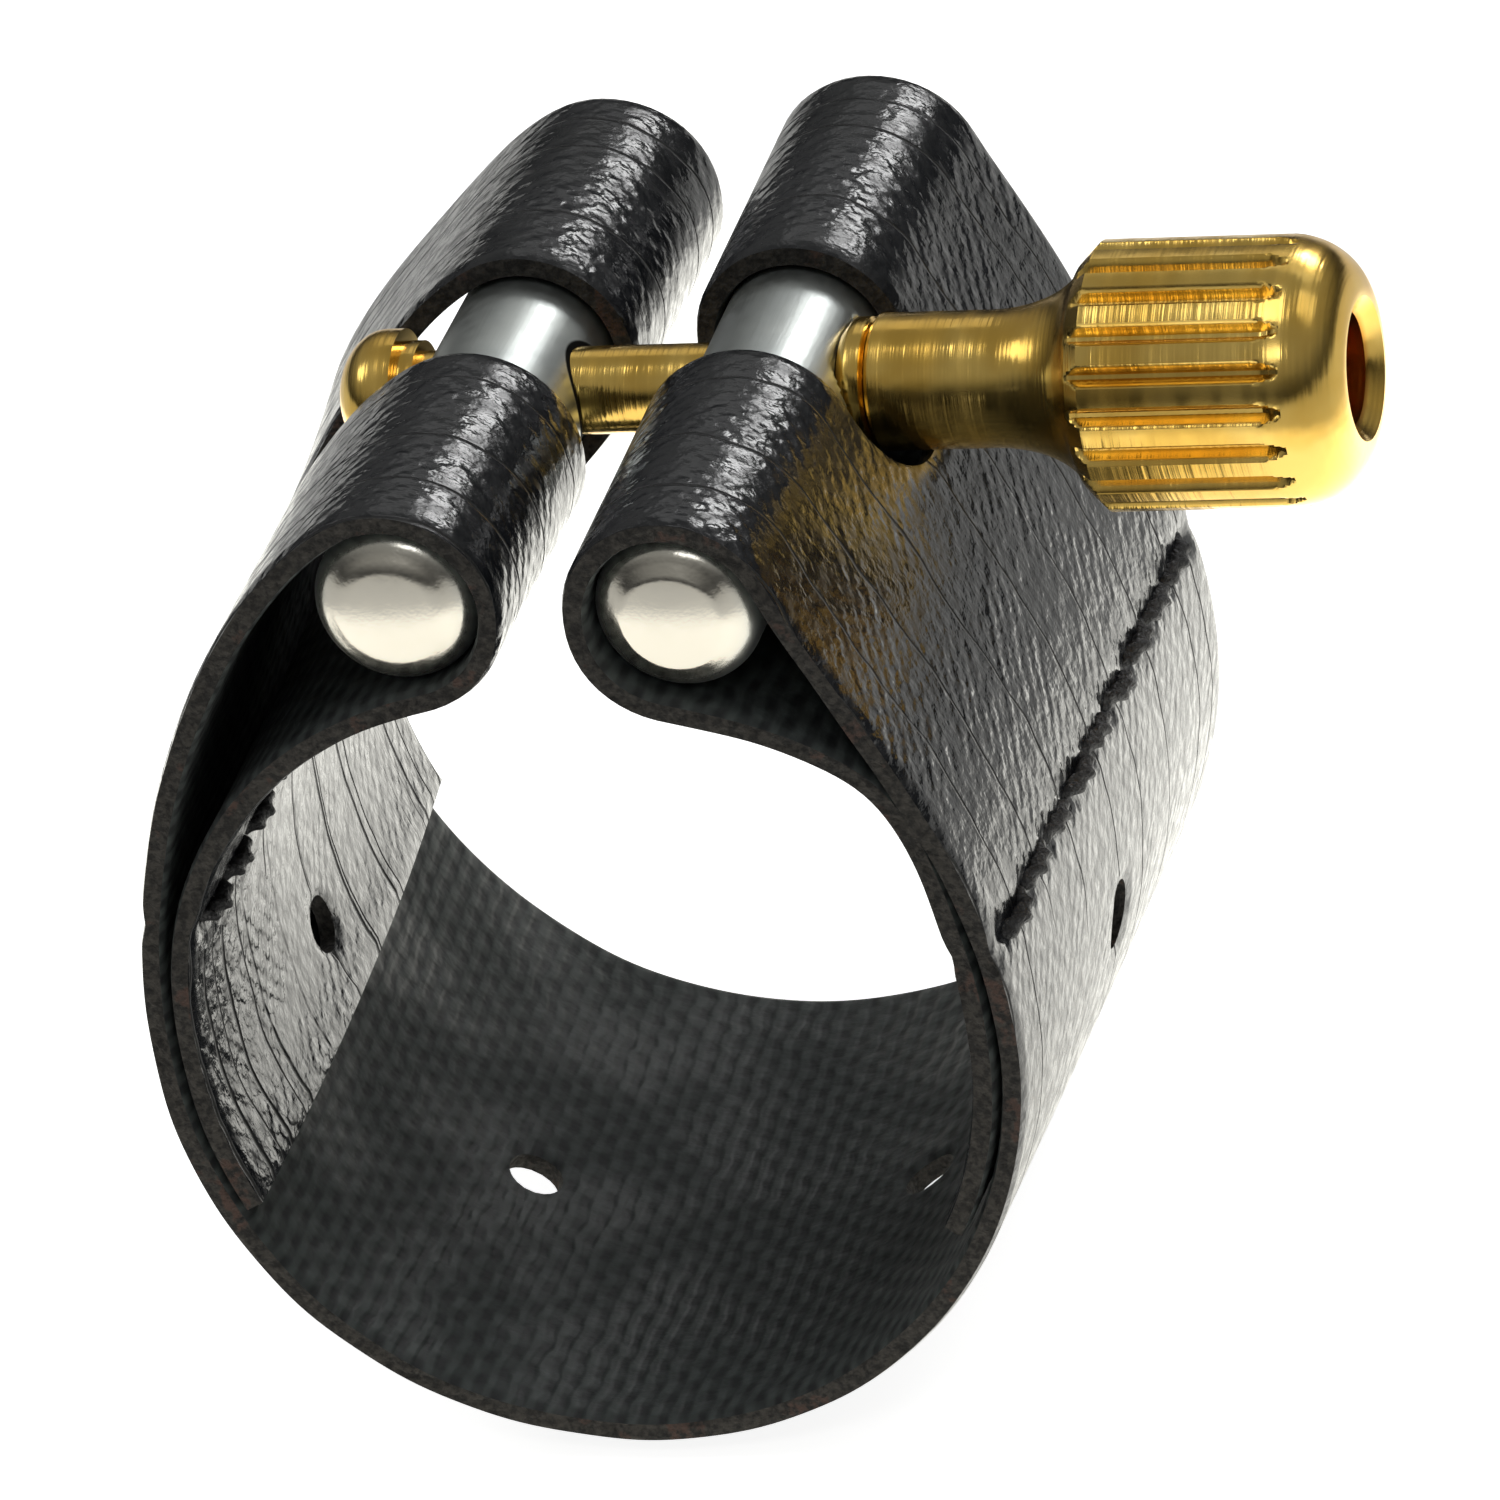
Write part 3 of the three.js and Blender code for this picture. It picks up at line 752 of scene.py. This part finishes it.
def stitches(half, name):
    """Tubes along Y between the needle holes, arched by a half sine and twisted like two-ply cord.

    The radius at an angle is the thread's, swollen on two sides that turn along the stitch. Each stitch
    has four chance offsets: its height, the start of its twist, its place across and its slant.
    """
    tubes = []
    for folded in (False, True):
        seam_s = half["seam_s"][folded]
        x0, z0, nx, nz = line_at(seam_s)
        t = np.linspace(0, 1, ALONG)[None, :, None]
        turn = np.linspace(0, 2 * math.pi, AROUND, endpoint=False)[None, None, :]
        start, stop = NEEDLE_Y[:-1, None, None] + STITCH_GAP, NEEDLE_Y[1:, None, None] - STITCH_GAP
        offset = random.normal(0, DISORDER, (4, STITCHES, 1, 1))
        arch = ARCH_HEIGHT * np.sin(np.pi * t) ** 0.6 - ARCH_SUNK + offset[0] * np.sin(np.pi * t)
        ply = 1 + PLY_SWELL * np.cos(2 * (turn - PLY_TURNS * t + offset[1] * 20))
        closing = np.minimum(1, np.minimum(t, 1 - t) * ALONG / END_POINTS)
        radius = THREAD_RADIUS * ply * np.sqrt(closing)
        outwards = STRAP_THICKNESS / 2 + arch + radius * np.cos(turn)
        across = radius * np.sin(turn) + (offset[2] + offset[3] * (t - 0.5) * 2.0)
        x, z = x0 + outwards * nx + across * nz, z0 + outwards * nz - across * nx
        y = np.broadcast_to(start + (stop - start) * t, x.shape)
        tubes.append(np.stack(drift(x, y, z, seam_s), -1))
    points = np.vstack(tubes)
    one = grid_quads(ALONG, AROUND, round_columns=True)
    shift = np.arange(len(points))[:, None, None] * ALONG * AROUND
    quads = (one[None] + shift).reshape(-1, 4)
    return make_mesh(name, points.reshape(-1, 3), quads, [thread_black], sharp=60)


def thread_material():
    """Black thread, a little lighter and rougher in patches."""
    material, tree, shader = new_material("thread_black")
    place = object_place(tree)
    patch = use_group(tree, patches, Place=place, Size=0.8)
    colour = blend_colour(tree, patch["Fine"], (0.006, 0.006, 0.007), (0.028, 0.028, 0.030))
    tree.links.new(colour, shader.inputs["Base Color"])
    tree.links.new(ramp(tree, patch["Coarse"], 0, 1, 0.35, 0.6), shader.inputs["Roughness"])
    bump(tree, shader, patch["Fine"], 0.05)
    return material


thread_black = thread_material()
for half, word in ((left, "left"), (right, "right")):
    row = stitches(half, f"stitches_{word}")
    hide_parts(f"seam_thread_{word}")
    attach(row, f"strap_{word}")

# %% [markdown]
# ## Turned metal
# Rods, screw, collar and nut all come off a lathe, so each is a profile of distance and radius carried
# round an axis. A Screw modifier would do the same. As an array the nut's flutes can be part of the
# same formula: they lower the radius in a pattern round the axis.

# %% Turned surfaces


def spaced(profile, gap):
    """A profile with points added so that none are further apart than gap."""
    profile = np.array(profile, float)
    pieces = [profile[:1]]
    for a, b in zip(profile[:-1], profile[1:]):
        steps = max(1, math.ceil(np.linalg.norm(b - a) / gap))
        pieces.append(a + (b - a) * (np.arange(1, steps + 1) / steps)[:, None])
    return np.vstack(pieces)


def turned_points(profile, around):
    """Along, and two coordinates across, of a profile of (along, radius) carried round an axis."""
    angle = np.linspace(0, 2 * math.pi, around, endpoint=False)
    along = np.repeat(profile[:, :1], around, 1)
    return along, profile[:, 1:] * np.cos(angle), profile[:, 1:] * np.sin(angle)


def rounded(centre, radius, start, stop, count=10):
    """Profile points along an arc, with angles in degrees from the axis direction."""
    angle = np.radians(np.linspace(start, stop, count))
    return [(centre[0] + radius * math.cos(a), centre[1] + radius * math.sin(a)) for a in angle]


TIP = 0.002  # a profile ends this close to the axis, and a cap of quads closes it


def turned_piece(name, profile, place, materials, around=128, closed=False, gap=0.25, sharp=35):
    """A turned mesh. place turns the arrays along and across into x, y, z.

    A closed profile makes a ring, and an open one starts and ends at the axis. gap is its longest step.
    """
    profile = spaced(profile + [profile[0]] if closed else profile, gap)
    if closed:
        profile = profile[:-1]
    points = np.stack(place(*turned_points(profile, around)), -1).reshape(-1, 3)
    quads = grid_quads(len(profile), around, round_rows=closed, round_columns=True)
    if not closed:
        caps = cap_quads(around)
        quads = np.vstack([quads, caps[:, ::-1], caps + (len(profile) - 1) * around])
    return make_mesh(name, points, quads, materials, sharp=sharp)


def cap_quads(around):
    """Quads that close a ring of points by joining each side of it to the other."""
    k = np.arange(around // 2 - 1)
    return np.column_stack([k, k + 1, around - 2 - k, around - 1 - k])


print("a cap over 12 points has", len(cap_quads(12)), "quads")

# %% The rods' profile
ROD_EDGE, ROD_CROWN = 0.85, 0.35
CROWN_FROM = 1.45  # radius where the rounded edge gives way to the crown
CROWN_WIDE = ROD_RADIUS - 0.3
ROD_END = max(abs(rod_low[1]), rod_high[1])


def rod_profile(end):
    """A rod's profile about its own middle, with a rounded edge and a crown that is part of a parabola."""
    edge = rounded((end - ROD_CROWN - ROD_EDGE, ROD_RADIUS - ROD_EDGE), ROD_EDGE, 90, 22)
    crown = [(end - ROD_CROWN * (r / CROWN_WIDE) ** 2, r) for r in np.linspace(CROWN_FROM, TIP, 8)]
    half_profile = edge + crown
    return [(-along, r) for along, r in half_profile[::-1]] + half_profile


print("rod profile points:", len(rod_profile(ROD_END)))

# %% [markdown]
# ## Steel and brass
# Both metals are shiny, so their colour comes from the base colour and their character from the
# roughness: turning leaves fine rings, and handling leaves soft patches. The steel rods are drawn, so
# their fine lines run along them. A painted dark ring stands for the shade in the clearance hole where the screw goes
# in.

# %% Metal materials
HOLE_EDGE = (1.38, 1.46)  # the painted shade of the rods' clearance hole, from its dark middle to the clean steel
BORE_EDGE = (1.6, 1.75)
POLISH_AND_PAINTED_REFLECTION_FROM = (11.9, 12.5)  # the rods' ends are polished, and tinted cream as a painted reflection of the floor, beyond this distance from the middle


def distance_from_screw(tree, parts):
    """The distance of a point from the screw's axis: the root of the sum of two squares."""
    off_y = math_node(tree, "SUBTRACT", parts[1], SCREW_Y)
    off_z = math_node(tree, "SUBTRACT", parts[2], SCREW_Z)
    square_z = math_node(tree, "MULTIPLY", off_z, off_z)
    return math_node(tree, "SQRT", math_node(tree, "MULTIPLY_ADD", off_y, off_y, square_z))


def steel_material():
    """Grey drawn steel with polished ends tinted cream as a painted reflection of the floor, and a painted dark ring of
    shade at the clearance hole.
    """
    material, tree, shader = new_material("rod_steel")
    place = object_place(tree)
    patch = use_group(tree, patches, Place=place, Size=2.2)
    colour = blend_colour(tree, patch["Coarse"], (0.50, 0.53, 0.52), (0.58, 0.61, 0.59))
    parts = add_node(tree, "ShaderNodeSeparateXYZ", {0: place}).outputs
    at_end = ramp(tree, math_node(tree, "ABSOLUTE", parts[1]), *POLISH_AND_PAINTED_REFLECTION_FROM)
    # Painted reflection: the polished ends are tinted cream for the floor they mirror.
    colour = blend_colour(tree, at_end, colour, (0.76, 0.72, 0.63))
    # Painted shade: near black round the screw stands for the shade inside a clearance hole that the rod's mesh does
    # not have.
    hole = ramp(tree, distance_from_screw(tree, parts), *HOLE_EDGE, 1.0, 0.0)
    colour = blend_colour(tree, hole, colour, (0.01, 0.01, 0.01))
    tree.links.new(colour, shader.inputs["Base Color"])
    shader.inputs["Metallic"].default_value = 1.0
    rough = math_node(tree, "MULTIPLY_ADD", patch["Fine"], 0.05, ramp(tree, at_end, 0, 1, 0.36, 0.17))
    tree.links.new(math_node(tree, "MULTIPLY_ADD", hole, 0.5, rough), shader.inputs["Roughness"])
    drawn = add_node(tree, "ShaderNodeMapping", {"Vector": place, "Scale": (9.0, 0.3, 9.0)}).outputs[0]
    lines = add_node(tree, "ShaderNodeTexNoise", {"Vector": drawn, "Scale": 1.0}).outputs[0]
    bump(tree, shader, lines, 0.004)
    return material


def brass_material():
    """Golden brass with turning rings, redder inside the nut's bore."""
    material, tree, shader = new_material("brass")
    place = object_place(tree)
    marks = use_group(tree, turning, Place=place, Fineness=7.0)
    patch = use_group(tree, patches, Place=place, Size=2.5)
    colour = blend_colour(tree, patch["Coarse"], (0.80, 0.50, 0.105), (0.90, 0.62, 0.17))
    parts = add_node(tree, "ShaderNodeSeparateXYZ", {0: place}).outputs
    in_nut = ramp(tree, parts[0], nut_low[0] + 2, nut_low[0] + 3)
    near_axis = ramp(tree, distance_from_screw(tree, parts), *BORE_EDGE, 1.0, 0.0)
    bore = math_node(tree, "MULTIPLY", near_axis, in_nut)
    colour = blend_colour(tree, bore, colour, (0.62, 0.27, 0.045))
    tree.links.new(colour, shader.inputs["Base Color"])
    shader.inputs["Metallic"].default_value = 1.0
    tree.links.new(ramp(tree, marks["Bands"], 0.3, 0.7, 0.15, 0.27), shader.inputs["Roughness"])
    under = bump(tree, shader, marks["Rings"], 0.013)
    bump(tree, shader, patch["Coarse"], 0.01, under=under)
    return material


steel, brass = steel_material(), brass_material()
print("metals:", steel.name, brass.name)

# %% The two rods
SEAT_RADIUS, SEAT_DEPTH = 1.95, 0.5  # the flat seat cut into the right rod for the collar


def left_rod_place(along, a, b):
    """The left rod lies straight along Y."""
    return rod_mid[0] + a, along, SCREW_Z + b


def right_rod_place(along, a, b):
    """The right rod turns about the screw by the tilt of its loop, and its seat is cut flat."""
    from_screw = along - SCREW_Y
    a = np.where(np.hypot(from_screw, b) < SEAT_RADIUS, np.minimum(a, ROD_RADIUS - SEAT_DEPTH), a)
    y = SCREW_Y + from_screw * math.cos(TILT) - b * math.sin(TILT)
    z = SCREW_Z + from_screw * math.sin(TILT) + b * math.cos(TILT)
    return right["rod_out"] + a, y, z


left_rod = turned_piece("rod_steel_left", rod_profile(ROD_END), left_rod_place, [steel])
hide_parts("rod_left")
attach(left_rod, "screw")
right_rod = turned_piece("rod_steel_right", rod_profile(ROD_END), right_rod_place, [steel], gap=0.12)
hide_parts("rod_right")
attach(right_rod, "rod_right")

# %% The screw


def on_screw(along, a, b):
    """The screw's own axis lies along X."""
    return along, SCREW_Y + a, SCREW_Z + b


HEAD_RADIUS = (screw_high[2] - screw_low[2]) / 2
HEAD_DOME, HEAD_LENGTH = 1.37, 1.9
SHOULDER_RADIUS, SHOULDER_END = 1.55, 2.45  # a low step between head and shank
SHANK_RADIUS = 1.25
SHANK_BEVEL = 0.4
HEAD_START, SHANK_END = screw_low[0], screw_high[0]
head_profile = [
    (HEAD_START + HEAD_DOME * (1 - math.cos(a)), max(TIP, HEAD_RADIUS * math.sin(a)))
    for a in np.radians(np.linspace(0, 90, 14))
]
screw_profile = head_profile + [
    (HEAD_START + HEAD_LENGTH, HEAD_RADIUS), (HEAD_START + HEAD_LENGTH, SHOULDER_RADIUS),
    (HEAD_START + SHOULDER_END, SHOULDER_RADIUS), (HEAD_START + SHOULDER_END, SHANK_RADIUS),
    (SHANK_END - SHANK_BEVEL, SHANK_RADIUS), (SHANK_END, SHANK_RADIUS - SHANK_BEVEL), (SHANK_END, TIP),
]
screw_piece = turned_piece("screw_brass", screw_profile, on_screw, [brass], around=96)
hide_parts("screw")
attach(screw_piece, "screw")

# %% The collar: a washer, bevelled more on the rod's side than on the nut's
COLLAR_RADIUS, COLLAR_BORE = (collar_high[2] - collar_low[2]) / 2, 1.4
COLLAR_START, COLLAR_STOP = collar_low[0], collar_high[0]
collar_profile = [
    (COLLAR_START, COLLAR_BORE), (COLLAR_START, COLLAR_RADIUS - 0.3),
    (COLLAR_START + 0.25, COLLAR_RADIUS - 0.04), (COLLAR_START + 0.32, COLLAR_RADIUS),
    (COLLAR_STOP - 0.1, COLLAR_RADIUS), (COLLAR_STOP, COLLAR_RADIUS - 0.14), (COLLAR_STOP, COLLAR_BORE),
]
collar_piece = turned_piece("collar_brass", collar_profile, on_screw, [brass], around=96, closed=True)
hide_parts("collar")
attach(collar_piece, "collar")

# %% [markdown]
# ## The thumb nut
# The nut is a slim neck that flares out to a fluted grip and ends in a dome with an open bore. Its
# flutes are cut straight through the back edge, which leaves a row of scallops, and end in points where
# the dome falls away. The cut is the lower of the turned radius and a toothed star.

# %% Nut profile and flutes
NUT_START, NUT_END = nut_low[0], nut_high[0]
GRIP_RADIUS = (nut_high[2] - nut_low[2]) / 2
NECK, FLARE, BEVEL, GRIP = 3.3, 2.9, 0.55, 5.2
NECK_RADIUS, BACK_RADIUS, MOUTH_RADIUS, BORE_RADIUS = 1.95, 3.3, 2.05, 1.62
DOME_START = NUT_START + NECK + FLARE + BEVEL + GRIP
DOME = NUT_END - DOME_START
FLUTES, FLUTE_DEPTH, RUN_OUT = 20, 0.42, 0.9
POINTS_PER_FLUTE = 18
SCREW_HOLE_RADIUS = 1.36
NECK_BEVEL = 0.12
COUNTERBORE, BORE_LENGTH, BORE_BOTTOM = 0.45, 2.6, 2.9
RIDGE_HEIGHT, RIDGE_PITCH = 0.012, 0.26


def flare_profile():
    """Part of a hollow oval, steepest where it meets the grip."""
    sweep = np.radians(np.linspace(0, 75, 16))
    out = (1 - np.cos(sweep)) / (1 - math.cos(sweep[-1]))
    along = np.sin(sweep) / math.sin(sweep[-1])
    return list(zip(NUT_START + NECK + FLARE * along, NECK_RADIUS + (BACK_RADIUS - NECK_RADIUS) * out))


dome_angle = np.linspace(0, math.pi / 2, 22)
dome_profile = list(zip(
    DOME_START + DOME * np.sin(dome_angle), MOUTH_RADIUS + (GRIP_RADIUS - MOUTH_RADIUS) * np.cos(dome_angle)
))
nut_profile = [
    (NUT_START, SCREW_HOLE_RADIUS), (NUT_START, NECK_RADIUS - NECK_BEVEL),
    (NUT_START + NECK_BEVEL, NECK_RADIUS), *flare_profile(),
    (NUT_START + NECK + FLARE + BEVEL, GRIP_RADIUS), *dome_profile,
    (NUT_END - 0.06, MOUTH_RADIUS - 0.06), (NUT_END - COUNTERBORE, BORE_RADIUS),
    (NUT_END - BORE_LENGTH, BORE_RADIUS), (NUT_END - BORE_BOTTOM, SCREW_HOLE_RADIUS),
]


def nut_place(along, a, b):
    """Lowers the radius to a rounded tooth pattern between the back edge and the dome.

    Each flute is an S-shaped dip of the radius in the turn about the axis, with fine ridges across it.
    """
    radius, angle = np.hypot(a, b), np.arctan2(b, a)
    turn = angle * FLUTES / (2 * math.pi)
    from_root = 2 * np.abs(turn - np.floor(turn) - 0.5)  # 1 in the middle of a land, 0 in a groove
    star = GRIP_RADIUS - FLUTE_DEPTH * (1 - smoothstep(0.1, 0.55, from_root))
    rise = FLUTE_DEPTH * smoothstep(DOME_START - 0.1, DOME_START + RUN_OUT, along)
    ridges = RIDGE_HEIGHT * np.sin(along * 2 * math.pi / RIDGE_PITCH) * (1 - smoothstep(0.15, 0.5, from_root))
    fluted = (along > NUT_START + NECK + FLARE * 0.5) & (along < DOME_START + RUN_OUT)
    fluted &= radius > BORE_RADIUS + 0.5
    new = np.where(fluted, np.minimum(radius, star + rise + ridges), radius)
    return along, SCREW_Y + new * np.cos(angle), SCREW_Z + new * np.sin(angle)


nut = turned_piece(
    "thumb_nut_brass", nut_profile, nut_place, [brass],
    around=FLUTES * POINTS_PER_FLUTE, closed=True, gap=0.13, sharp=30,
)
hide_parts("thumb_nut")
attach(nut, "thumb_nut")

# %% [markdown]
# ## Floor, light and camera
# The floor is plain and nearly white. Glossy black shows only what it mirrors, so the surroundings
# matter more than the lamps. In reflections the floor is a bright pool round the object, brighter behind
# it, and the air is dark at the horizon and grey overhead. The camera sees both as an even white. This
# could be done with white and black cards. Two masks on the floor and the world do the same.

# %% Floor
low = cad_box[0]
FLOOR_SIZE = 6.0
POOL_EDGE = (56, 82)  # the pool fades out between these distances, in millimetres
POOL_BACK = (-20, 40)  # it gets brighter between these places along Y
bpy.ops.mesh.primitive_plane_add(size=FLOOR_SIZE, location=(0, 0, low.z))
floor = bpy.context.object
floor.name = "floor"
floor_material, tree, shader = new_material("floor_white")
shader.inputs["Base Color"].default_value = (0.93, 0.93, 0.92, 1)
shader.inputs["Roughness"].default_value = 0.9
place = object_place(tree)
parts = add_node(tree, "ShaderNodeSeparateXYZ", {0: place}).outputs
across = math_node(tree, "MULTIPLY", parts[0], parts[0])
reach = math_node(tree, "SQRT", math_node(tree, "MULTIPLY_ADD", parts[1], parts[1], across))
pool = ramp(tree, reach, *POOL_EDGE, 1.0, 0.05)
mirrored = math_node(tree, "MULTIPLY", pool, ramp(tree, parts[1], *POOL_BACK, 0.85, 2.0))
seen = add_node(tree, "ShaderNodeLightPath").outputs["Is Camera Ray"]
green, blue = (math_node(tree, "MULTIPLY", mirrored, share) for share in (0.985, 0.9))
warm = add_node(tree, "ShaderNodeCombineXYZ", {0: mirrored, 1: green, 2: blue}).outputs[0]
tree.links.new(blend_colour(tree, seen, warm, (0.85, 0.85, 0.85)), shader.inputs["Emission Color"])
shader.inputs["Emission Strength"].default_value = 1.0
floor.data.materials.append(floor_material)
print("floor at z =", low.z)

# %% Surroundings
world = bpy.data.worlds.new("studio")
world.use_nodes = True
bpy.context.scene.world = world
tree = world.node_tree
background = tree.nodes["Background"]
direction = add_node(tree, "ShaderNodeTexCoord").outputs["Generated"]
parts = add_node(tree, "ShaderNodeSeparateXYZ", {0: direction}).outputs
up = ramp(tree, parts[2], 0.05, 0.55)
colour = blend_colour(tree, up, (0.03, 0.03, 0.03), (0.26, 0.26, 0.25))
seen = add_node(tree, "ShaderNodeLightPath").outputs["Is Camera Ray"]
colour = blend_colour(tree, seen, colour, (1.0, 1.0, 1.0))
tree.links.new(colour, background.inputs["Color"])
background.inputs["Strength"].default_value = 1.0
print("surroundings:", world.name)

# %% Lamps


def lamp(name, azimuth, elevation, distance, size, radiance):
    """An area lamp that faces the object from a direction; its power is radiance times pi times area."""
    data = bpy.data.lights.new(name, "AREA")
    data.shape = "RECTANGLE"
    data.size, data.size_y = size
    data.energy = radiance * math.pi * size[0] * size[1]
    lamp_object = bpy.data.objects.new(name, data)
    a, e = math.radians(azimuth), math.radians(elevation)
    back = Vector((math.sin(a) * math.cos(e), -math.cos(a) * math.cos(e), math.sin(e)))
    lamp_object.location = back * distance
    lamp_object.rotation_euler = (-back).to_track_quat("-Z", "Y").to_euler()
    bpy.context.scene.collection.objects.link(lamp_object)


lamp("lamp_behind_wide", 170, 46, 0.7, (0.7, 0.3), 0.4)
lamp("lamp_behind_strip", 163, 33, 0.6, (0.17, 0.12), 9)
lamp("lamp_top", 20, 80, 0.6, (0.30, 0.22), 2.5)
lamp("lamp_front", 12, 42, 0.9, (0.34, 0.14), 3)
lamp("lamp_left", -80, 45, 0.7, (0.25, 0.25), 2)
lamp("lamp_right", 100, 50, 0.7, (0.25, 0.25), 0.9)
print("lamps:", len(bpy.data.lights))

# %% Camera
camera_data = bpy.data.cameras.new("camera")
camera = bpy.data.objects.new("camera", camera_data)
bpy.context.scene.collection.objects.link(camera)
bpy.context.scene.camera = camera
camera_data.lens, camera_data.sensor_width = 505.97, 36  # a long lens, which keeps the view flat
CAMERA_PLACE = (0.17703, -0.50328, 0.27702)
AZIMUTH, ELEVATION, ROLL = (math.radians(v) for v in (19.17, 27.26, -10.36))
turn = Matrix.Rotation(AZIMUTH, 4, "Z") @ Matrix.Rotation(math.pi / 2 - ELEVATION, 4, "X")
camera.matrix_world = Matrix.Translation(CAMERA_PLACE) @ turn @ Matrix.Rotation(ROLL, 4, "Z")
print("camera axes:", [[round(v, 4) for v in row] for row in camera.matrix_world.to_3x3()])
camera_data.clip_start, camera_data.clip_end = 0.01, 20
bpy.context.scene.view_settings.view_transform = "Standard"
